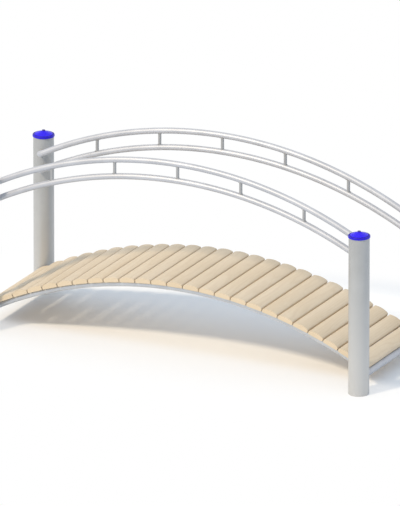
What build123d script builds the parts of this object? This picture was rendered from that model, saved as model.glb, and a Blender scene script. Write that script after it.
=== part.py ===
from build123d import *
from math import asin, atan, cos, hypot, sin, sqrt
import os

# An arched garden and playground bridge with steel tube rails and a plank deck.
# Millimetres, +Z up, +X along the walkway, -Y towards the front side.
# The origin is on the ground, under the middle of the arch.

# Posts
post_span = 2292.0
post_diameter = 114.3
post_wall = 3.6
post_rise_over_rail = 78.0

# Post caps
cap_diameter = 122.0
cap_brim_height = 11.5
cap_edge_bevel = 3.5
cap_cone_diameter = 108.0
cap_cone_height = 18.0
cap_knob_diameter = 18.0
cap_knob_height = 6.0
cap_skirt_depth = 18.0
cap_skirt_wall = 3.0
cap_skirt_clearance = 0.5

# Bent tubes: two rails and one stringer on each side, all bent to one radius
arch_radius = 2371.0
rail_diameter = 33.7
stringer_diameter = 33.7
cross_tube_diameter = 42.4

# Deck
deck_apex_height = 437.0
deck_width = 626.0
plank_width = 89.5
plank_gap = 7.0
plank_thickness = 28.0
plank_crown = 6.5
plank_arris = 6.0
plank_count = 25

# Handrails
handrail_height = 683.0
rail_spacing = 95.5
elbow_radius = 38.0
baluster_diameter = 18.0
baluster_count = 5

# Gaps that place one piece beside another
deck_side_gap = 7.0
rail_standoff = 30.0
cross_tube_drop = 3.0

# Places that follow from the sizes above
post_x = post_span / 2
post_y = deck_width / 2 + deck_side_gap + post_diameter / 2
rail_y = post_y - post_diameter / 2 - rail_standoff - rail_diameter / 2
stub_x = post_x - rail_diameter / 2
seat_apex = deck_apex_height - plank_thickness
stringer_apex = seat_apex - stringer_diameter / 2
arch_centre_z = stringer_apex - arch_radius
seat_radius = seat_apex - arch_centre_z
plank_angle = (plank_width + plank_gap) / seat_radius
upper_rail_apex = deck_apex_height + handrail_height - rail_diameter / 2
lower_rail_apex = upper_rail_apex - rail_spacing
rail_bend = asin(stub_x / hypot(arch_radius, elbow_radius)) - atan(elbow_radius / arch_radius)
rail_fall = arch_radius * (1 - cos(rail_bend)) + elbow_radius * sin(rail_bend)
post_height = upper_rail_apex - rail_fall + post_rise_over_rail
cross_tube_reach = seat_radius - cross_tube_drop - cross_tube_diameter / 2
cross_tube_z = arch_centre_z + sqrt(cross_tube_reach**2 - post_x**2)
baluster_pitch = post_span / (baluster_count + 1)

SIDES = {"front": -1, "rear": 1}
ENDS = {"left": -1, "right": 1}


def arch_point(apex, side, angle):
    """A point on a bent tube's centre line, at an angle from the top of the arch."""
    return Vector(
        arch_radius * sin(angle),
        side * rail_y,
        apex - arch_radius * (1 - cos(angle)),
    )


def make_post(end, side):
    """A round steel post, standing on its cut foot and open under its cap."""
    foot = Plane((end * post_x, side * post_y, 0))
    with BuildPart() as post:
        with BuildSketch(foot):
            Circle(post_diameter / 2)
            Circle(post_diameter / 2 - post_wall, mode=Mode.SUBTRACT)
        extrude(amount=post_height)
    return post


def make_caps():
    """The plastic caps: bevelled brim, cone with a knob on top, and a skirt inside the post."""
    brim = cap_diameter / 2
    cone = cap_cone_diameter / 2
    knob = cap_knob_diameter / 2
    skirt = post_diameter / 2 - post_wall - cap_skirt_clearance
    shoulder = cap_brim_height + cap_cone_height
    top = shoulder + cap_knob_height
    knob_radius = (knob**2 + cap_knob_height**2) / (2 * cap_knob_height)
    with BuildPart() as caps:
        for end in ENDS.values():
            for side in SIDES.values():
                seat = Vector(end * post_x, side * post_y, post_height)
                with BuildSketch(Plane(seat, x_dir=(1, 0, 0), z_dir=(0, -1, 0))):
                    with BuildLine():
                        Polyline(
                            (0, top),
                            (0, 0),
                            (skirt - cap_skirt_wall, 0),
                            (skirt - cap_skirt_wall, -cap_skirt_depth),
                            (skirt, -cap_skirt_depth),
                            (skirt, 0),
                            (brim, 0),
                            (brim, cap_brim_height - cap_edge_bevel),
                            (brim - cap_edge_bevel, cap_brim_height),
                            (cone, cap_brim_height),
                            (knob, shoulder),
                        )
                        RadiusArc((knob, shoulder), (0, top), -knob_radius)
                    make_face()
                revolve(axis=Axis(seat, (0, 0, 1)))
    return caps


def sweep_round(path, diameter):
    """Sweep a round section along a path, from the path's start."""
    with BuildSketch(Plane(path @ 0, z_dir=path % 0)) as section:
        Circle(diameter / 2)
    sweep(sections=section.sketch, path=path)


def cut_posts(side):
    """Cope whatever meets the two posts of one side to their outer faces."""
    with Locations([(end * post_x, side * post_y, 0) for end in ENDS.values()]):
        Cylinder(
            post_diameter / 2,
            post_height,
            align=(Align.CENTER, Align.CENTER, Align.MIN),
            mode=Mode.SUBTRACT,
        )


def make_rail(side, apex):
    """A bent rail whose ends turn out through an elbow and butt against the posts."""
    outward = Vector(0, side, 0)
    with BuildPart() as rail:
        with BuildLine() as path:
            arch = ThreePointArc(
                arch_point(apex, side, -rail_bend),
                arch_point(apex, side, 0),
                arch_point(apex, side, rail_bend),
            )
            for start, heading in ((arch @ 0, (arch % 0) * -1), (arch @ 1, arch % 1)):
                turned = start + (heading + outward) * elbow_radius
                TangentArc(start, turned, tangent=heading)
                Line(turned, Vector(turned.X, side * post_y, turned.Z))
        sweep_round(path.wire(), rail_diameter)
        cut_posts(side)
    return rail


def make_balusters(side):
    """The short uprights between one side's two rails, coped to both tubes."""
    with BuildPart() as fill:
        for apex in (lower_rail_apex, upper_rail_apex):
            with BuildLine() as path:
                bend = asin(post_x / arch_radius)
                ThreePointArc(*(arch_point(apex, side, turn) for turn in (-bend, 0, bend)))
            sweep_round(path.wire(), rail_diameter)
    with BuildPart() as balusters:
        for number in range(baluster_count):
            x = (number + 1) * baluster_pitch - post_x
            foot = arch_point(lower_rail_apex, side, asin(x / arch_radius))
            with BuildSketch(Plane(foot)):
                Circle(baluster_diameter / 2)
            extrude(amount=rail_spacing)
        add(fill.part, mode=Mode.SUBTRACT)
    return balusters


def make_cross_tube(end):
    """The straight tube between the two posts of one end, under the last plank."""
    with BuildPart() as tube:
        with BuildSketch(Plane((end * post_x, 0, cross_tube_z), z_dir=(0, 1, 0))):
            Circle(cross_tube_diameter / 2)
        extrude(amount=post_y, both=True)
        for side in SIDES.values():
            cut_posts(side)
    return tube


def make_stringer(side):
    """The bent tube that carries the planks, coped to the cross tubes."""
    bend = asin(post_x / cross_tube_reach) - cross_tube_diameter / 4 / arch_radius
    with BuildPart() as stringer:
        with BuildLine() as path:
            ThreePointArc(*(arch_point(stringer_apex, side, turn) for turn in (-bend, 0, bend)))
        sweep_round(path.wire(), stringer_diameter)
        for end in ENDS.values():
            seat = Vector(end * post_x, side * rail_y, cross_tube_z)
            with BuildSketch(Plane(seat, x_dir=(end, 0, 0), z_dir=(0, 1, 0))):
                Circle(cross_tube_diameter / 2)
            extrude(amount=stringer_diameter, both=True, mode=Mode.SUBTRACT)
    return stringer


def make_plank(step):
    """One crowned deck board, resting across the stringers at its step along the arch."""
    angle = step * plank_angle
    along = Vector(cos(angle), 0, -sin(angle))
    seat = Vector(seat_radius * sin(angle), 0, arch_centre_z + seat_radius * cos(angle))
    half = plank_width / 2
    edge = plank_thickness - plank_crown
    with BuildPart() as plank:
        with BuildSketch(Plane(seat, x_dir=along, z_dir=(0, -1, 0))):
            with BuildLine():
                Polyline((-half, edge), (-half, 0), (half, 0), (half, edge))
                ThreePointArc((half, edge), (0, plank_thickness), (-half, edge))
            face = make_face()
            fillet(face.vertices().group_by(Axis.Y)[-1], plank_arris)
        extrude(amount=deck_width / 2, both=True)
    return plank


os.makedirs("parts", exist_ok=True)

pieces = {"caps": make_caps()}
for side_name, side in SIDES.items():
    for end_name, end in ENDS.items():
        pieces[f"post_{side_name}_{end_name}"] = make_post(end, side)
    pieces[f"upper_rail_{side_name}"] = make_rail(side, upper_rail_apex)
    pieces[f"lower_rail_{side_name}"] = make_rail(side, lower_rail_apex)
    pieces[f"balusters_{side_name}"] = make_balusters(side)
    pieces[f"stringer_{side_name}"] = make_stringer(side)

for end_name, end in ENDS.items():
    pieces[f"cross_tube_{end_name}"] = make_cross_tube(end)

for number in range(plank_count):
    pieces[f"plank_{number + 1:02d}"] = make_plank(number - (plank_count - 1) / 2)

for name, piece in pieces.items():
    piece.part.label = name
    export_step(piece.part, f"parts/{name}.step")
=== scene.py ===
"""Looks for the arched bridge: satin steel tube, pine boards, blue plastic caps and a bright floor."""

from math import asin, atan, cos, hypot, pi, radians, sin, sqrt

import bmesh
import bpy
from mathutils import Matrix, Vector


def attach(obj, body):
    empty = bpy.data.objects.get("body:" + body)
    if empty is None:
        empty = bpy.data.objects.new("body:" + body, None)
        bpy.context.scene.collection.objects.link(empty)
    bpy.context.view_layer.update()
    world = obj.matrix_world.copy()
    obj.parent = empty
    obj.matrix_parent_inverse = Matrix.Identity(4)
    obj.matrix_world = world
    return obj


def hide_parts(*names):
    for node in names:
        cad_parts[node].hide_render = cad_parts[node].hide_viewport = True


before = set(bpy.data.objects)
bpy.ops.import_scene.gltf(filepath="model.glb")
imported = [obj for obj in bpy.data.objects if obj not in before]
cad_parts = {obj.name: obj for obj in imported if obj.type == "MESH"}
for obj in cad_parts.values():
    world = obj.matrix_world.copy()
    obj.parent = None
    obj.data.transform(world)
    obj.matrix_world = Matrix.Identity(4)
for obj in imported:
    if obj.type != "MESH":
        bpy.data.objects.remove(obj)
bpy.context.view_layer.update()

# Posts and their caps, in metres
POST_X = 1.146
POST_Y = 0.37715
POST_RADIUS = 0.05715
POST_WALL = 0.0036
POST_HEIGHT = 0.895361
CAP_RADIUS = 0.0608
CAP_BRIM = 0.0115
CAP_SHOULDER = 0.0295
CAP_TOP = 0.0355
CAP_SKIRT = 0.018
CAP_SKIRT_WALL = 0.003
CAP_SKIRT_CLEARANCE = 0.0005
CAP_LIP_RADIUS = 0.0545
CAP_GROOVE_OUTER = 0.0540
CAP_GROOVE_INNER = 0.0515
CAP_GROOVE_DEPTH = 0.0025
CAP_CONE_RADIUS = 0.0505
CAP_CONE_STEP = 0.0012
CAP_KNOB_FOOT = 0.0100
CAP_KNOB_RADIUS = 0.0088
CAP_BRIM_ROUNDING = 0.005
POST_RIM_ROUNDING = 0.0008

# Bent tubes. An inset is how far short of the centre line of what it meets a tube stops.
ARCH_RADIUS = 2.371
ARCH_CENTRE_Z = -1.97885
TUBE_RADIUS = 0.01675
RAIL_Y = 0.27315
UPPER_RAIL_TOP = 1.10300
LOWER_RAIL_TOP = 1.00765
STRINGER_TOP = 0.39215
ELBOW_RADIUS = 0.038
RAIL_BEND = asin((POST_X - TUBE_RADIUS) / hypot(ARCH_RADIUS, ELBOW_RADIUS)) - atan(
    ELBOW_RADIUS / ARCH_RADIUS
)
RAIL_END_INSET = 0.043
TUBE_POINTS = 96
BALUSTER_RADIUS = 0.009
BALUSTER_COUNT = 5
BALUSTER_INSET = 0.009
WELD_BEAD_RADIUS = 0.0020

# Deck
BOARD_WIDTH = 0.0895
BOARD_THICKNESS = 0.028
BOARD_CROWN = 0.0085
BOARD_ARRIS = 0.008
DECK_WIDTH = 0.626
SEAT_RADIUS = 2.38785
BOARD_PITCH = 0.0965
BOARD_ANGLE = BOARD_PITCH / SEAT_RADIUS
BOARD_COUNT = 25

# Cross tubes
CROSS_RADIUS = 0.0212
CROSS_DROP = 0.003
CROSS_END_INSET = 0.050
CROSS_REACH = SEAT_RADIUS - CROSS_DROP - CROSS_RADIUS
CROSS_ANGLE = asin(POST_X / CROSS_REACH)
CROSS_Z = ARCH_CENTRE_Z + CROSS_REACH * cos(CROSS_ANGLE)

FLOOR_RADIUS = 3.4
SHARP_EDGE_ANGLE = 0.6

SIDES = {"front": -1, "rear": 1}
ENDS = {"left": -1, "right": 1}


class Wire:
    """A socket in a node tree that takes part in Python sums."""

    def __init__(self, tree, socket=None):
        self.tree = tree
        self.socket = socket

    def node(self, kind, settings=None, inputs=None, output=0):
        """Adds a node, sets it up, feeds its inputs and returns one of its outputs."""
        made = self.tree.nodes.new(kind)
        for name, value in (settings or {}).items():
            setattr(made, name, value)
        for name, value in (inputs or {}).items():
            if isinstance(value, Wire):
                self.tree.links.new(value.socket, made.inputs[name])
            else:
                made.inputs[name].default_value = value
        return Wire(self.tree, made.outputs[output] if made.outputs else None)

    def out(self, name):
        """Another output of the node that this socket belongs to."""
        return Wire(self.tree, self.socket.node.outputs[name])

    def math(self, operation, *values):
        """A Math node on this value."""
        return self.node("ShaderNodeMath", {"operation": operation}, dict(enumerate(values)))

    def __add__(self, other):
        return self.math("ADD", self, other)

    def __radd__(self, other):
        return self.math("ADD", other, self)

    def __sub__(self, other):
        return self.math("SUBTRACT", self, other)

    def __rsub__(self, other):
        return self.math("SUBTRACT", other, self)

    def __mul__(self, other):
        return self.math("MULTIPLY", self, other)

    def __rmul__(self, other):
        return self.math("MULTIPLY", other, self)

    def __truediv__(self, other):
        return self.math("DIVIDE", self, other)

    def __rtruediv__(self, other):
        return self.math("DIVIDE", other, self)

    def __pow__(self, other):
        return self.math("POWER", self, other)

    def step(self, low, high, to_low=0.0, to_high=1.0):
        """This value, eased from low to high into another range."""
        return self.node(
            "ShaderNodeMapRange",
            {"interpolation_type": "SMOOTHSTEP"},
            {"Value": self, "From Min": low, "From Max": high, "To Min": to_low, "To Max": to_high},
        )

    def vector(self, x, y, z):
        """Three values as one vector."""
        return self.node("ShaderNodeCombineXYZ", None, {"X": x, "Y": y, "Z": z})

    def noise(self, place, scale, detail=2.0, roughness=0.5):
        """Soft noise at a place."""
        return self.node(
            "ShaderNodeTexNoise",
            None,
            {"Vector": place, "Scale": scale, "Detail": detail, "Roughness": roughness},
        )

    def mix(self, factor, first, second):
        """A blend of two colours."""
        colours = [c if isinstance(c, Wire) else (*c, 1.0) for c in (first, second)]
        return self.node(
            "ShaderNodeMix",
            {"data_type": "RGBA"},
            {0: factor, 6: colours[0], 7: colours[1]},
            output=2,
        )


def start_material(name):
    """An empty material and a wire on its tree."""
    material = bpy.data.materials.new(name)
    material.use_nodes = True
    material.node_tree.nodes.clear()
    return material, Wire(material.node_tree)


def finish_material(wire, shader):
    """Joins a shader to the material's output."""
    wire.node("ShaderNodeOutputMaterial", None, {"Surface": shader})


def object_place(wire):
    """The point on the piece, split into x, y and z."""
    point = wire.node("ShaderNodeTexCoord", output=3)
    parts = wire.node("ShaderNodeSeparateXYZ", None, {"Vector": point})
    return parts.out("X"), parts.out("Y"), parts.out("Z")


def arch_place(wire):
    """The point's angle along the arch, its distance from the arch's centre, and its y."""
    x, y, z = object_place(wire)
    up = z - ARCH_CENTRE_Z
    angle = wire.math("ARCTAN2", x, up)
    radius = wire.math("SQRT", x * x + up * up)
    return angle, radius, y


def brushed_steel(name, drawn, base, metal, matt, foot=None):
    """Satin tube with fine lines along its run. Drawn tubes carry their run and girth as attributes.

    A foot colour is for posts: painted bounce light from the floor, so they pale towards the ground.
    """
    material, wire = start_material(name)
    x, y, z = object_place(wire)
    if drawn:
        run = wire.node("ShaderNodeAttribute", {"attribute_name": "run"}).out("Fac")
        girth = wire.node("ShaderNodeAttribute", {"attribute_name": "girth"}, output=1)
        parts = wire.node("ShaderNodeSeparateXYZ", None, {"Vector": girth})
        lines = wire.vector(parts.out("X") * 300.0, parts.out("Y") * 300.0, run * 2.0)
    else:
        lines = wire.vector(x * 300.0, y * 300.0, z * 2.0)
    brush = wire.noise(lines, 1.0, 3.0, 0.6)
    smear = wire.noise(wire.vector(x, y, z), 9.0, 3.0, 0.55)
    tone = brush * 0.2 + smear * 0.8
    dark = [part * 0.94 for part in base]
    light = [part * 1.06 for part in base]
    colour = wire.mix(tone.step(0.3, 0.7), dark, light)
    # Painted light: the floor's bounce is painted into the colour, which pales towards the ground.
    if foot:
        colour = wire.mix(1.0 - z.step(0.0, 0.9), colour, foot)
    roughness = brush * 0.04 + smear * 0.06 + (matt - 0.05)
    bump = wire.node("ShaderNodeBump", None, {"Strength": 0.006, "Distance": 0.0004, "Height": brush})
    shader = wire.node(
        "ShaderNodeBsdfPrincipled",
        None,
        {"Base Color": colour, "Metallic": metal, "Roughness": roughness, "Normal": bump},
    )
    finish_material(wire, shader)
    return material


def weld_steel():
    """Weld metal: a little darker and rougher than the tubes, with straw and grey patches."""
    material, wire = start_material("weld_steel")
    x, y, z = object_place(wire)
    patch = wire.noise(wire.vector(x, y, z), 160.0, 3.0, 0.6)
    colour = wire.mix(patch.step(0.35, 0.7), (0.36, 0.35, 0.33), (0.47, 0.47, 0.47))
    roughness = patch * 0.20 + 0.30
    shader = wire.node(
        "ShaderNodeBsdfPrincipled",
        None,
        {"Base Color": colour, "Metallic": 0.8, "Roughness": roughness},
    )
    finish_material(wire, shader)
    return material


def pine_boards():
    """Planed pine: growth rings round a pith that lies elsewhere in each board, and end grain."""
    material, wire = start_material("pine_boards")
    angle, radius, y = arch_place(wire)
    number = wire.math("ROUND", angle / BOARD_ANGLE)
    across = (angle - number * BOARD_ANGLE) * SEAT_RADIUS
    height = radius - SEAT_RADIUS
    chance = wire.node("ShaderNodeTexWhiteNoise", {"noise_dimensions": "1D"}, {"W": number + 40.5})
    other = wire.node("ShaderNodeTexWhiteNoise", {"noise_dimensions": "1D"}, {"W": number * 3.7 + 9.25})
    shade = chance.out("Value")
    lot = other.out("Value")
    slide = shade * 30.0
    warp = wire.noise(wire.vector(across * 9.0 + slide, y * 1.6 + slide, height * 9.0), 1.0, 2.0, 0.5)
    ripple = wire.noise(wire.vector(across * 60.0 + slide, y * 5.0, height * 60.0), 1.0, 2.0, 0.5)
    pith_across = across + (lot - 0.5) * 0.09 + (warp - 0.5) * 0.05
    pith_height = height + 0.030 + shade * 0.05 + (warp - 0.5) * 0.03
    ring = wire.math("SQRT", pith_across * pith_across + pith_height * pith_height)
    wave = wire.math("SINE", (ring * 1150.0) + ripple * 2.5) * 0.5 + 0.5
    late = (wave**3.0) * (ripple * 0.6 + 0.55)
    fibre = wire.noise(wire.vector(across * 900.0 + slide, y * 14.0, height * 900.0), 1.0, 3.0, 0.6)
    fleck = wire.noise(wire.vector(across * 220.0 + slide, y * 30.0, height * 220.0), 1.0, 2.0, 0.5)
    early = wire.mix(warp.step(0.25, 0.75), (0.695, 0.567, 0.400), (0.750, 0.633, 0.474))
    grain = wire.mix(late * 0.24, early, (0.53, 0.375, 0.225))
    streak = wire.mix(fibre.step(0.35, 0.8) * 0.24, grain, (0.50, 0.375, 0.245))
    dusty = wire.mix(fleck.step(0.45, 0.8) * 0.16, streak, (0.84, 0.75, 0.61))
    toned = wire.mix(shade * 0.30, dusty, (0.625, 0.515, 0.380))
    sawn = wire.math("ABSOLUTE", y).step(DECK_WIDTH / 2 - 0.0016, DECK_WIDTH / 2 - 0.0004)
    board = wire.mix(sawn * 0.4, toned, (0.66, 0.53, 0.36))
    roughness = late * -0.10 + fibre * 0.12 + 0.56
    relief = fibre * 0.5 + late * 0.5
    bump = wire.node("ShaderNodeBump", None, {"Strength": 0.18, "Distance": 0.0008, "Height": relief})
    shader = wire.node(
        "ShaderNodeBsdfPrincipled",
        None,
        {"Base Color": board, "Roughness": roughness, "Normal": bump, "IOR": 1.45},
    )
    finish_material(wire, shader)
    return material


def blue_plastic():
    """Moulded blue plastic with painted shade, darker in the groove and on the rim, and a dark moulded
    knob.
    """
    material, wire = start_material("blue_plastic")
    x, y, z = object_place(wire)
    place = wire.vector(x, y, z)
    from_x = wire.math("ABSOLUTE", x) - POST_X
    from_y = wire.math("ABSOLUTE", y) - POST_Y
    reach = wire.math("SQRT", from_x * from_x + from_y * from_y)
    skin = wire.noise(place, 900.0, 2.0, 0.5)
    dust = wire.noise(place, 60.0, 4.0, 0.6)
    body = wire.mix(dust.step(0.35, 0.75) * 0.4, (0.020, 0.004, 0.78), (0.045, 0.016, 0.88))
    # Painted shade: the groove and the rounded rim are darkened in the colour.
    ring = reach.step(0.0495, 0.0530) * (1.0 - reach.step(0.0575, 0.0605) * 0.6)
    groove_shaded = wire.mix(ring, body, (0.010, 0.004, 0.30))
    knobbed = wire.mix(1.0 - reach.step(0.0088, 0.0105), groove_shaded, (0.055, 0.045, 0.22))
    roughness = dust * 0.14 + skin * 0.06 + 0.28
    bump = wire.node("ShaderNodeBump", None, {"Strength": 0.10, "Distance": 0.0002, "Height": skin})
    shader = wire.node(
        "ShaderNodeBsdfPrincipled",
        None,
        {
            "Base Color": knobbed,
            "Roughness": roughness,
            "Normal": bump,
            "IOR": 1.5,
            "Specular IOR Level": 0.25,
        },
    )
    finish_material(wire, shader)
    return material


def white_floor():
    """A pale floor that keeps the deck's shadow and fades to pure white further out. For the camera it
    is painted partly white just in front of the bridge, over the soft shade there, and painted white
    behind it, over the rails' shadow.
    """
    material, wire = start_material("white_floor")
    x, y, z = object_place(wire)
    reach = wire.math("SQRT", x * x + y * y)
    seen = wire.node("ShaderNodeLightPath")
    # Painted light for the camera: partly white just in front of the bridge over the floor's shade, and
    # white behind it over the rails' shadow.
    ahead = 0.0 - y
    painted_light_ahead = ahead.step(0.08, 0.26) * 0.5 + ahead.step(0.3, 1.2) * 0.5
    painted_light_behind = (y - x * 0.35).step(0.75, 1.45)
    around = wire.math("MAXIMUM", painted_light_behind, reach.step(1.7, 2.5))
    fade = wire.math("MAXIMUM", painted_light_ahead, around) * seen.out("Is Camera Ray")
    matt = wire.node("ShaderNodeBsdfDiffuse", None, {"Color": (0.93, 0.93, 0.93, 1.0)})
    white = wire.node("ShaderNodeEmission", None, {"Color": (1.0, 1.0, 1.0, 1.0), "Strength": 1.0})
    shader = wire.node("ShaderNodeMixShader", None, {0: fade, 1: matt, 2: white})
    finish_material(wire, shader)
    return material


def start_tree(name, sizes):
    """A Geometry Nodes tree with named sizes; gives the tree, a wire on it, and its inputs as wires."""
    tree = bpy.data.node_groups.new(name, "GeometryNodeTree")
    tree.interface.new_socket("Geometry", in_out="INPUT", socket_type="NodeSocketGeometry")
    tree.interface.new_socket("Geometry", in_out="OUTPUT", socket_type="NodeSocketGeometry")
    for size, value in sizes.items():
        kind = "NodeSocketInt" if isinstance(value, int) else "NodeSocketFloat"
        tree.interface.new_socket(size, in_out="INPUT", socket_type=kind)
    wire = Wire(tree)
    entry = wire.node("NodeGroupInput")
    return tree, wire, entry


def finish_tree(wire, shape, material):
    """Ends a tree: smooth faces with crisp edges, real instances and the material."""
    smooth = wire.node("GeometryNodeSetShadeSmooth", {"domain": "FACE"}, {"Geometry": shape})
    bend = wire.node("GeometryNodeInputMeshEdgeAngle")
    sharp = wire.math("GREATER_THAN", bend, SHARP_EDGE_ANGLE)
    crisp = wire.node(
        "GeometryNodeSetShadeSmooth",
        {"domain": "EDGE"},
        {"Geometry": smooth, "Selection": sharp, "Shade Smooth": False},
    )
    real = wire.node("GeometryNodeRealizeInstances", None, {"Geometry": crisp})
    dressed = wire.node("GeometryNodeSetMaterial", None, {"Geometry": real, "Material": material})
    wire.node("NodeGroupOutput", None, {"Geometry": dressed})


def grow(name, tree, sizes, base=None):
    """Runs a tree on its sizes and keeps the result as a plain mesh, without the modifier."""
    piece = bpy.data.objects.new(name, base or bpy.data.meshes.new(name))
    bpy.context.scene.collection.objects.link(piece)
    modifier = piece.modifiers.new("shape", "NODES")
    modifier.node_group = tree
    for item in tree.interface.items_tree:
        if item.in_out == "INPUT" and item.name in sizes:
            modifier[item.identifier] = sizes[item.name]
    graph = bpy.context.evaluated_depsgraph_get()
    shape = bpy.data.meshes.new_from_object(
        piece.evaluated_get(graph), preserve_all_data_layers=True, depsgraph=graph
    )
    piece.modifiers.remove(modifier)
    piece.data = shape
    return piece


def path_points(wire, count, x, y, z):
    """A line of points, each sent to its place along a tube."""
    line = wire.node("GeometryNodeCurvePrimitiveLine")
    even = wire.node("GeometryNodeResampleCurve", None, {"Curve": line, "Count": count})
    place = wire.vector(x, y, z)
    return wire.node("GeometryNodeSetPosition", None, {"Geometry": even, "Position": place})


def tube_skin(wire, path, radius, sides=32):
    """A closed round tube on a path, which keeps its run and girth for the finish."""
    length = wire.node("GeometryNodeSplineParameter").out("Length")
    measured = wire.node(
        "GeometryNodeStoreNamedAttribute",
        {"data_type": "FLOAT", "domain": "POINT"},
        {"Geometry": path, "Name": "run", "Value": length},
    )
    ring = wire.node(
        "GeometryNodeCurvePrimitiveCircle", None, {"Resolution": sides, "Radius": radius}
    )
    girthed = wire.node(
        "GeometryNodeStoreNamedAttribute",
        {"data_type": "FLOAT_VECTOR", "domain": "POINT"},
        {"Geometry": ring, "Name": "girth", "Value": wire.node("GeometryNodeInputPosition")},
    )
    return wire.node(
        "GeometryNodeCurveToMesh",
        None,
        {"Curve": measured, "Profile Curve": girthed, "Fill Caps": True},
    )


def cope_to_posts(wire, skin):
    """Trims tube ends to the posts' round faces, just inside the wall."""
    point = wire.node("GeometryNodeInputPosition")
    parts = wire.node("ShaderNodeSeparateXYZ", None, {"Vector": point})
    x, y, z = parts.out("X"), parts.out("Y"), parts.out("Z")
    from_x = wire.math("ABSOLUTE", x) - POST_X
    seat = POST_RADIUS - POST_WALL / 2
    depth = wire.math("SQRT", wire.math("MAXIMUM", seat * seat - from_x * from_x, 0.0))
    reach = wire.math("MINIMUM", wire.math("ABSOLUTE", y), POST_Y - depth)
    place = wire.vector(x, reach * wire.math("SIGN", y), z)
    return wire.node("GeometryNodeSetPosition", None, {"Geometry": skin, "Position": place})


def bent_rail_tree(material):
    """A rail bent to the arch, whose two ends turn out through an elbow to the posts."""
    sizes = {
        "Top": 1.0, "Side": 1.0, "Arch Radius": 2.0, "Bend": 0.5, "Elbow Radius": 0.03,
        "Tube Radius": 0.01, "Rail Y": 0.2, "Post Y": 0.3, "Points": 90,
    }
    tree, wire, entry = start_tree("bent_rail", sizes)
    top, side, arch, bend, elbow, tube, rail_y, post_y, count = (entry.out(size) for size in sizes)
    index = wire.node("GeometryNodeInputIndex")
    last = count - 1.0
    share = wire.node(
        "ShaderNodeMapRange", None, {"Value": index, "From Min": 2.0, "From Max": last - 2.0}
    )
    angle = (share * 2.0 - 1.0) * bend
    beyond = wire.math("GREATER_THAN", index, last - 1.5) - wire.math("LESS_THAN", index, 1.5)
    tip = wire.math("GREATER_THAN", index, last - 0.5) + wire.math("LESS_THAN", index, 0.5)
    run_out = beyond * elbow
    x = wire.math("SINE", angle) * arch + wire.math("COSINE", angle) * run_out
    z = top - (1.0 - wire.math("COSINE", angle)) * arch - wire.math("SINE", angle) * run_out
    y = side * (rail_y + tip * (post_y - rail_y))
    path = path_points(wire, count, x, y, z)
    corner = wire.math("ABSOLUTE", beyond) - tip
    rounded = wire.node(
        "GeometryNodeFilletCurve",
        {"mode": "POLY"},
        {"Curve": path, "Count": corner * 14.0, "Radius": corner * elbow * 0.985},
    )
    skin = tube_skin(wire, rounded, tube)
    finish_tree(wire, cope_to_posts(wire, skin), material)
    return tree


def stringer_tree(material):
    """A plain arched tube that carries the boards."""
    sizes = {
        "Top": 0.4, "Side": 1.0, "Arch Radius": 2.0, "Bend": 0.5, "Tube Radius": 0.01,
        "Rail Y": 0.2, "Points": 90,
    }
    tree, wire, entry = start_tree("stringer", sizes)
    top, side, arch, bend, tube, rail_y, count = (entry.out(size) for size in sizes)
    index = wire.node("GeometryNodeInputIndex")
    angle = (index / (count - 1.0) * 2.0 - 1.0) * bend
    x = wire.math("SINE", angle) * arch
    z = top - (1.0 - wire.math("COSINE", angle)) * arch
    path = path_points(wire, count, x, side * rail_y, z)
    finish_tree(wire, tube_skin(wire, path, tube), material)
    return tree


def cross_tube_tree(material):
    """A straight tube across one end, coped to its two posts."""
    sizes = {"End X": 1.0, "Height": 0.1, "Half Length": 0.3, "Tube Radius": 0.02}
    tree, wire, entry = start_tree("cross_tube", sizes)
    end_x, height, half, tube = (entry.out(size) for size in sizes)
    index = wire.node("GeometryNodeInputIndex")
    path = path_points(wire, 9, end_x, (index / 4.0 - 1.0) * half, height)
    skin = tube_skin(wire, path, tube, 40)
    finish_tree(wire, cope_to_posts(wire, skin), material)
    return tree


def baluster_tree(material):
    """The row of short uprights between one side's two rails."""
    sizes = {
        "Low Top": 1.0, "High Top": 1.1, "Side": 1.0, "Arch Radius": 2.0, "Rail Y": 0.2,
        "Span": 2.0, "Inset": 0.01, "Tube Radius": 0.009, "Balusters": 5,
    }
    tree, wire, entry = start_tree("baluster_row", sizes)
    low, high, side, arch, rail_y, span, inset, tube, count = (entry.out(size) for size in sizes)
    line = wire.node("GeometryNodeMeshLine", None, {"Count": count})
    index = wire.node("GeometryNodeInputIndex")
    x = ((index + 1.0) / (count + 1.0) - 0.5) * span
    drop = arch - wire.math("SQRT", arch * arch - x * x)
    place = wire.vector(x, side * rail_y, low - drop + inset)
    row = wire.node("GeometryNodeSetPosition", None, {"Geometry": line, "Position": place})
    upright = path_points(wire, 5, 0.0, 0.0, index / 4.0 * (high - low - inset * 2.0))
    skin = tube_skin(wire, upright, tube, 24)
    uprights = wire.node("GeometryNodeInstanceOnPoints", None, {"Points": row, "Instance": skin})
    finish_tree(wire, uprights, material)
    return tree


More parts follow.
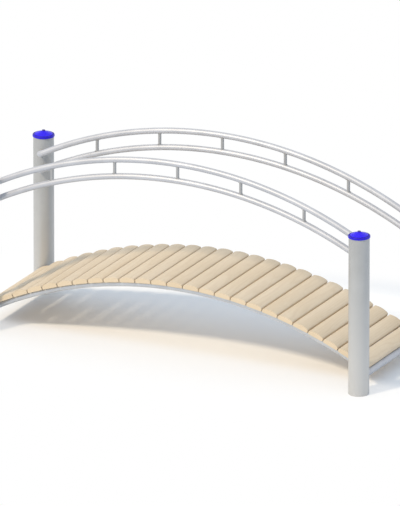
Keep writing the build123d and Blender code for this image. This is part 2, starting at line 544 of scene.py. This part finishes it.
def weld_tree(material):
    """Rippled beads where a tube meets a rounder one; a point for each, with its heading and axis."""
    sizes = {
        "Tube Radius": 0.01, "Seat Radius": 0.05, "Offset": 0.0, "Bead Radius": 0.002,
        "Ripples": 30, "Points": 120,
    }
    tree, wire, entry = start_tree("weld_beads", sizes)
    tube, seat, offset, bead, ripples, count = (entry.out(size) for size in sizes)
    index = wire.node("GeometryNodeInputIndex")
    turn = index / count * (2.0 * pi)
    x = wire.math("COSINE", turn) * tube
    y = wire.math("SINE", turn) * tube
    from_axis = y - offset
    z = 0.0 - wire.math("SQRT", seat * seat - from_axis * from_axis)
    loop = wire.node("GeometryNodeCurvePrimitiveCircle", None, {"Resolution": count})
    path = wire.node(
        "GeometryNodeSetPosition", None, {"Geometry": loop, "Position": wire.vector(x, y, z)}
    )
    swell = wire.math("ABSOLUTE", wire.math("SINE", turn * ripples * 0.5)) * 0.22 + 0.84
    ring = wire.node("GeometryNodeCurvePrimitiveCircle", None, {"Resolution": 8, "Radius": bead})
    rippled = wire.node("GeometryNodeSetCurveRadius", None, {"Curve": path, "Radius": swell})
    skin = wire.node(
        "GeometryNodeCurveToMesh", None, {"Curve": rippled, "Profile Curve": ring, "Fill Caps": True}
    )
    heading = wire.node(
        "GeometryNodeInputNamedAttribute", {"data_type": "FLOAT_VECTOR"}, {"Name": "heading"}
    )
    axis = wire.node(
        "GeometryNodeInputNamedAttribute", {"data_type": "FLOAT_VECTOR"}, {"Name": "axis"}
    )
    turned = wire.node(
        "FunctionNodeAxesToRotation",
        {"primary_axis": "Z", "secondary_axis": "X"},
        {0: heading, 1: axis},
    )
    beads = wire.node(
        "GeometryNodeInstanceOnPoints",
        None,
        {"Points": entry.out("Geometry"), "Instance": skin, "Rotation": turned},
    )
    finish_tree(wire, beads, material)
    return tree


def deck_tree(material):
    """Crowned boards with eased edges, set side by side along the arch."""
    sizes = {
        "Board Width": 0.09, "Thickness": 0.03, "Crown": 0.006, "Arris": 0.006,
        "Deck Width": 0.6, "Seat Radius": 2.4, "Centre Height": -2.0, "Step Angle": 0.04,
        "Boards": 25,
    }
    tree, wire, entry = start_tree("deck_boards", sizes)
    width, thick, crown, arris, length, seat, centre, step, count = (
        entry.out(size) for size in sizes
    )
    index = wire.node("GeometryNodeInputIndex")
    half = width * 0.5
    foot = wire.math("LESS_THAN", index, 1.5)
    across = foot * (index * 2.0 - 1.0) * half + (1.0 - foot) * (1.0 - (index - 2.0) / 4.0) * half
    swell = (half * half + crown * crown) / (crown * 2.0)
    bow = wire.math("SQRT", swell * swell - across * across) - swell
    rise = (1.0 - foot) * (thick + bow)
    outline = wire.node("GeometryNodeCurvePrimitiveCircle", None, {"Resolution": 11})
    section = wire.node(
        "GeometryNodeSetPosition",
        None,
        {"Geometry": outline, "Position": wire.vector(0.0 - across, 0.0 - rise, 0.0)},
    )
    edge = wire.math("COMPARE", index, 2.0, 0.5) + wire.math("COMPARE", index, 10.0, 0.5)
    eased = wire.node(
        "GeometryNodeFilletCurve",
        {"mode": "POLY"},
        {"Curve": section, "Count": edge * 5.0 + foot * 2.0, "Radius": edge * arris + foot * 0.0012},
    )
    near_tip = wire.math("MINIMUM", index, 7.0 - index)
    inset = (near_tip * near_tip) * 0.0004
    side = wire.math("SIGN", index - 3.5)
    path = path_points(wire, 8, 0.0, side * (length * 0.5 - inset), 0.0)
    upright = wire.node("GeometryNodeSetCurveNormal", {"mode": "Z_UP"}, {"Curve": path})
    board = wire.node(
        "GeometryNodeCurveToMesh",
        None,
        {"Curve": upright, "Profile Curve": eased, "Fill Caps": True},
    )
    line = wire.node("GeometryNodeMeshLine", None, {"Count": count})
    angle = (index - (count - 1.0) * 0.5) * step
    place = wire.vector(
        wire.math("SINE", angle) * seat, 0.0, wire.math("COSINE", angle) * seat + centre
    )
    row = wire.node("GeometryNodeSetPosition", None, {"Geometry": line, "Position": place})
    boards = wire.node(
        "GeometryNodeInstanceOnPoints",
        None,
        {"Points": row, "Instance": board, "Rotation": wire.vector(0.0, angle, 0.0)},
    )
    finish_tree(wire, boards, material)
    return tree


def turned(name, outline, places, material, steps=72):
    """Pieces turned round an upright axis from a closed outline of reach and height."""
    shape = bmesh.new()
    for place in places:
        rings = []
        for number in range(steps):
            angle = 2.0 * pi * number / steps
            rings.append(
                [
                    shape.verts.new(
                        (place.x + reach * cos(angle), place.y + reach * sin(angle), place.z + height)
                    )
                    for reach, height in outline
                ]
            )
        for number, ring in enumerate(rings):
            beside = rings[(number + 1) % steps]
            for point in range(len(outline)):
                after = (point + 1) % len(outline)
                shape.faces.new((ring[point], beside[point], beside[after], ring[after]))
    bmesh.ops.remove_doubles(shape, verts=shape.verts, dist=1e-6)
    loose = [edge for edge in shape.edges if edge.is_wire]
    bmesh.ops.delete(shape, geom=loose, context="EDGES")
    bmesh.ops.recalc_face_normals(shape, faces=shape.faces)
    for face in shape.faces:
        face.smooth = True
    for edge in shape.edges:
        edge.smooth = edge.calc_face_angle(0.0) < SHARP_EDGE_ANGLE
    mesh = bpy.data.meshes.new(name)
    shape.to_mesh(mesh)
    shape.free()
    mesh.materials.append(material)
    piece = bpy.data.objects.new(name, mesh)
    bpy.context.scene.collection.objects.link(piece)
    return piece


def round_over(outline, corners, radius, steps=5):
    """An outline with some of its corners rounded by short curves."""
    made = []
    for number, corner in enumerate(outline):
        if number not in corners:
            made.append(corner)
            continue
        here = Vector(corner)
        before = (Vector(outline[number - 1]) - here).normalized() * radius
        after = (Vector(outline[(number + 1) % len(outline)]) - here).normalized() * radius
        for step in range(steps + 1):
            share = step / steps
            point = here + before * (1.0 - share) ** 2 + after * share**2
            made.append((point.x, point.y))
    return made


def add_piece(piece, slot, *nodes):
    """Fixes a finished piece to the bridge and hides the nodes it stands for; its slot is not used."""
    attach(piece, "root")
    if nodes:
        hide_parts(*nodes)


def make_posts(material):
    """Four posts: tube walls with eased rims."""
    inner = POST_RADIUS - POST_WALL
    outline = [(inner, 0.0), (POST_RADIUS, 0.0), (POST_RADIUS, POST_HEIGHT), (inner, POST_HEIGHT)]
    eased = round_over(outline, (0, 1, 2, 3), POST_RIM_ROUNDING, 2)
    for side_name, side in SIDES.items():
        for end_name, end in ENDS.items():
            place = Vector((end * POST_X, side * POST_Y, 0.0))
            post = turned(f"post_tube_{side_name}_{end_name}", eased, [place], material, 96)
            add_piece(post, "steel", f"post_{side_name}_{end_name}")


def make_caps(material):
    """The four caps: rounded brim, groove, cone and knob, and a skirt down inside the post."""
    skirt = POST_RADIUS - POST_WALL - CAP_SKIRT_CLEARANCE
    bore = skirt - CAP_SKIRT_WALL
    outline = [
        (0.0, CAP_TOP),
        (0.0, CAP_SHOULDER - 0.004),
        (0.008, CAP_SHOULDER - 0.005),
        (bore, 0.0025),
        (bore, -CAP_SKIRT),
        (skirt, -CAP_SKIRT),
        (skirt, 0.0),
        (CAP_RADIUS, 0.0),
        (CAP_RADIUS, CAP_BRIM),
        (CAP_LIP_RADIUS, CAP_BRIM),
        (CAP_GROOVE_OUTER, CAP_BRIM - CAP_GROOVE_DEPTH),
        (CAP_GROOVE_INNER, CAP_BRIM - CAP_GROOVE_DEPTH),
        (CAP_CONE_RADIUS, CAP_BRIM + CAP_CONE_STEP),
        (CAP_KNOB_FOOT, CAP_SHOULDER - 0.0008),
        (CAP_KNOB_RADIUS, CAP_TOP - 0.0015),
    ]
    rounded = round_over(outline, (8,), CAP_BRIM_ROUNDING, 8)
    places = [
        Vector((end * POST_X, side * POST_Y, POST_HEIGHT))
        for side in SIDES.values()
        for end in ENDS.values()
    ]
    add_piece(turned("cap_tops", rounded, places, material), "cap_plastic", "caps")


def make_rails(material):
    """The four bent rails."""
    tree = bent_rail_tree(material)
    for side_name, side in SIDES.items():
        for level, top in (("upper", UPPER_RAIL_TOP), ("lower", LOWER_RAIL_TOP)):
            sizes = {
                "Top": top, "Side": float(side), "Arch Radius": ARCH_RADIUS, "Bend": RAIL_BEND,
                "Elbow Radius": ELBOW_RADIUS, "Tube Radius": TUBE_RADIUS, "Rail Y": RAIL_Y,
                "Post Y": POST_Y - RAIL_END_INSET, "Points": TUBE_POINTS,
            }
            rail = grow(f"{level}_rail_tube_{side_name}", tree, sizes)
            add_piece(rail, "steel", f"{level}_rail_{side_name}")


def make_stringers(material):
    """The two bent tubes under the deck."""
    tree = stringer_tree(material)
    for side_name, side in SIDES.items():
        sizes = {
            "Top": STRINGER_TOP, "Side": float(side), "Arch Radius": ARCH_RADIUS,
            "Bend": CROSS_ANGLE - CROSS_RADIUS / 2.0 / ARCH_RADIUS, "Tube Radius": TUBE_RADIUS,
            "Rail Y": RAIL_Y, "Points": TUBE_POINTS,
        }
        stringer = grow(f"stringer_tube_{side_name}", tree, sizes)
        add_piece(stringer, "steel", f"stringer_{side_name}")


def make_cross_tubes(material):
    """The straight tube between the posts of each end."""
    tree = cross_tube_tree(material)
    for end_name, end in ENDS.items():
        sizes = {
            "End X": end * POST_X, "Height": CROSS_Z,
            "Half Length": POST_Y - CROSS_END_INSET, "Tube Radius": CROSS_RADIUS,
        }
        tube = grow(f"cross_bar_{end_name}", tree, sizes)
        add_piece(tube, "steel", f"cross_tube_{end_name}")


def make_balusters(material):
    """The short uprights of both sides."""
    tree = baluster_tree(material)
    for side_name, side in SIDES.items():
        sizes = {
            "Low Top": LOWER_RAIL_TOP, "High Top": UPPER_RAIL_TOP, "Side": float(side),
            "Arch Radius": ARCH_RADIUS, "Rail Y": RAIL_Y, "Span": POST_X * 2.0,
            "Inset": BALUSTER_INSET, "Tube Radius": BALUSTER_RADIUS, "Balusters": BALUSTER_COUNT,
        }
        row = grow(f"baluster_row_{side_name}", tree, sizes)
        add_piece(row, "steel", f"balusters_{side_name}")


def weld_places(name, joints):
    """Points that carry the heading of each joint's tube and the axis of what it meets."""
    mesh = bpy.data.meshes.new(name)
    mesh.from_pydata([place for place, heading, axis in joints], [], [])
    headings = mesh.attributes.new("heading", "FLOAT_VECTOR", "POINT")
    axes = mesh.attributes.new("axis", "FLOAT_VECTOR", "POINT")
    for number, (place, heading, axis) in enumerate(joints):
        headings.data[number].vector = heading
        axes.data[number].vector = axis
    return mesh


def make_welds(material):
    """Beads round the rail ends, the balusters and the cross tubes."""
    tree = weld_tree(material)
    tall = Vector((0.0, 0.0, 1.0))
    stubs = []
    crosses = []
    for side in SIDES.values():
        outward = Vector((0.0, side, 0.0))
        for end in ENDS.values():
            crosses.append((Vector((end * POST_X, side * POST_Y, CROSS_Z)), outward, tall))
            for top in (UPPER_RAIL_TOP, LOWER_RAIL_TOP):
                fall = ARCH_RADIUS * (1.0 - cos(RAIL_BEND)) + ELBOW_RADIUS * sin(RAIL_BEND)
                place = Vector((end * (POST_X - TUBE_RADIUS), side * POST_Y, top - fall))
                stubs.append((place, outward, tall * (end * side)))
    feet = []
    for side in SIDES.values():
        for number in range(BALUSTER_COUNT):
            x = ((number + 1) / (BALUSTER_COUNT + 1) - 0.5) * POST_X * 2.0
            lean = asin(x / ARCH_RADIUS)
            along = Vector((cos(lean), 0.0, -sin(lean)))
            up = Vector((sin(lean), 0.0, cos(lean)))
            drop = ARCH_RADIUS * (1.0 - cos(lean))
            for top, heading in ((UPPER_RAIL_TOP, up), (LOWER_RAIL_TOP, -up)):
                feet.append((Vector((x, side * RAIL_Y, top - drop)), heading, along))
    kinds = {
        "rail_end_welds": (stubs, TUBE_RADIUS, POST_RADIUS, TUBE_RADIUS, 32, 128),
        "cross_tube_welds": (crosses, CROSS_RADIUS, POST_RADIUS, 0.0, 40, 160),
        "baluster_welds": (feet, BALUSTER_RADIUS, TUBE_RADIUS, 0.0, 18, 72),
    }
    for name, (joints, tube, seat, offset, ripples, points) in kinds.items():
        sizes = {
            "Tube Radius": tube, "Seat Radius": seat, "Offset": offset,
            "Bead Radius": WELD_BEAD_RADIUS, "Ripples": ripples, "Points": points,
        }
        add_piece(grow(name, tree, sizes, weld_places(name, joints)), "steel")


def make_deck(material):
    """The twenty-five boards."""
    sizes = {
        "Board Width": BOARD_WIDTH, "Thickness": BOARD_THICKNESS, "Crown": BOARD_CROWN,
        "Arris": BOARD_ARRIS, "Deck Width": DECK_WIDTH, "Seat Radius": SEAT_RADIUS,
        "Centre Height": ARCH_CENTRE_Z, "Step Angle": BOARD_ANGLE, "Boards": BOARD_COUNT,
    }
    deck = grow("deck_boards", deck_tree(material), sizes)
    add_piece(deck, "timber", *(f"plank_{number + 1:02d}" for number in range(BOARD_COUNT)))


def make_floor():
    """A round floor under the bridge, not part of it."""
    mesh = bpy.data.meshes.new("floor")
    shape = bmesh.new()
    bmesh.ops.create_circle(shape, cap_ends=True, segments=96, radius=FLOOR_RADIUS)
    shape.to_mesh(mesh)
    shape.free()
    floor = bpy.data.objects.new("floor", mesh)
    bpy.context.scene.collection.objects.link(floor)
    mesh.materials.append(white_floor())


def make_light():
    """A soft high sun from the front left and an even, slightly cool sky."""
    lamp = bpy.data.lights.new("sun", "SUN")
    lamp.energy = 2.05
    lamp.angle = radians(7.0)
    lamp.color = (1.0, 0.85, 0.64)
    sun = bpy.data.objects.new("sun", lamp)
    bpy.context.scene.collection.objects.link(sun)
    towards = Vector((-0.49, -0.97, 1.0))
    sun.rotation_mode = "QUATERNION"
    sun.rotation_quaternion = towards.to_track_quat("Z", "Y")
    world = bpy.data.worlds.new("sky")
    bpy.context.scene.world = world
    world.use_nodes = True
    world.node_tree.nodes.clear()
    wire = Wire(world.node_tree)
    seen = wire.node("ShaderNodeLightPath")
    mirrored = wire.math("MAXIMUM", seen.out("Is Glossy Ray"), seen.out("Is Transmission Ray"))
    direct = wire.math("MAXIMUM", seen.out("Is Camera Ray"), mirrored)
    colour = wire.mix(direct, (0.675, 0.757, 0.86), (1.0, 1.0, 1.0))
    back = wire.node("ShaderNodeBackground", None, {"Color": colour, "Strength": 1.0})
    wire.node("ShaderNodeOutputWorld", None, {"Surface": back})


def make_camera():
    """A very long lens, so that the view is almost parallel, as the photograph's is."""
    azimuth = radians(26.48)
    elevation = radians(19.13)
    right = Vector((cos(azimuth), sin(azimuth), 0.0))
    back = Vector((sin(azimuth) * cos(elevation), -cos(azimuth) * cos(elevation), sin(elevation)))
    up = back.cross(right)
    pixels_per_metre = 183.73
    frame_height = 506 / pixels_per_metre
    across = (200.0 - 200.1) / pixels_per_metre
    rise = (341.4 - 253.0) / pixels_per_metre
    target = right * across + up * rise + back * 0.164
    data = bpy.data.cameras.new("camera")
    data.lens = 1300.0
    data.sensor_width = 36.0
    distance = frame_height * data.lens / data.sensor_width
    data.clip_start = 10.0
    data.clip_end = distance + 30.0
    camera = bpy.data.objects.new("camera", data)
    bpy.context.scene.collection.objects.link(camera)
    camera.rotation_mode = "QUATERNION"
    camera.location = target + back * distance
    camera.rotation_quaternion = (-back).to_track_quat("-Z", "Y")
    bpy.context.scene.camera = camera


bpy.context.scene.view_settings.view_transform = "Standard"
make_camera()
make_floor()
make_light()

rail_steel = brushed_steel("rail_steel", True, (0.52, 0.535, 0.575), 0.5, 0.50)
make_rails(rail_steel)
make_cross_tubes(rail_steel)
make_stringers(brushed_steel("stringer_steel", True, (0.57, 0.59, 0.62), 0.6, 0.32))
make_balusters(brushed_steel("baluster_steel", True, (0.38, 0.385, 0.39), 0.2, 0.42))
# The posts' foot colour is painted bounce light from the floor.
make_posts(
    brushed_steel("post_steel", False, (0.40, 0.41, 0.415), 0.25, 0.40, foot=(0.53, 0.53, 0.525))
)
make_welds(weld_steel())
make_deck(pine_boards())
make_caps(blue_plastic())
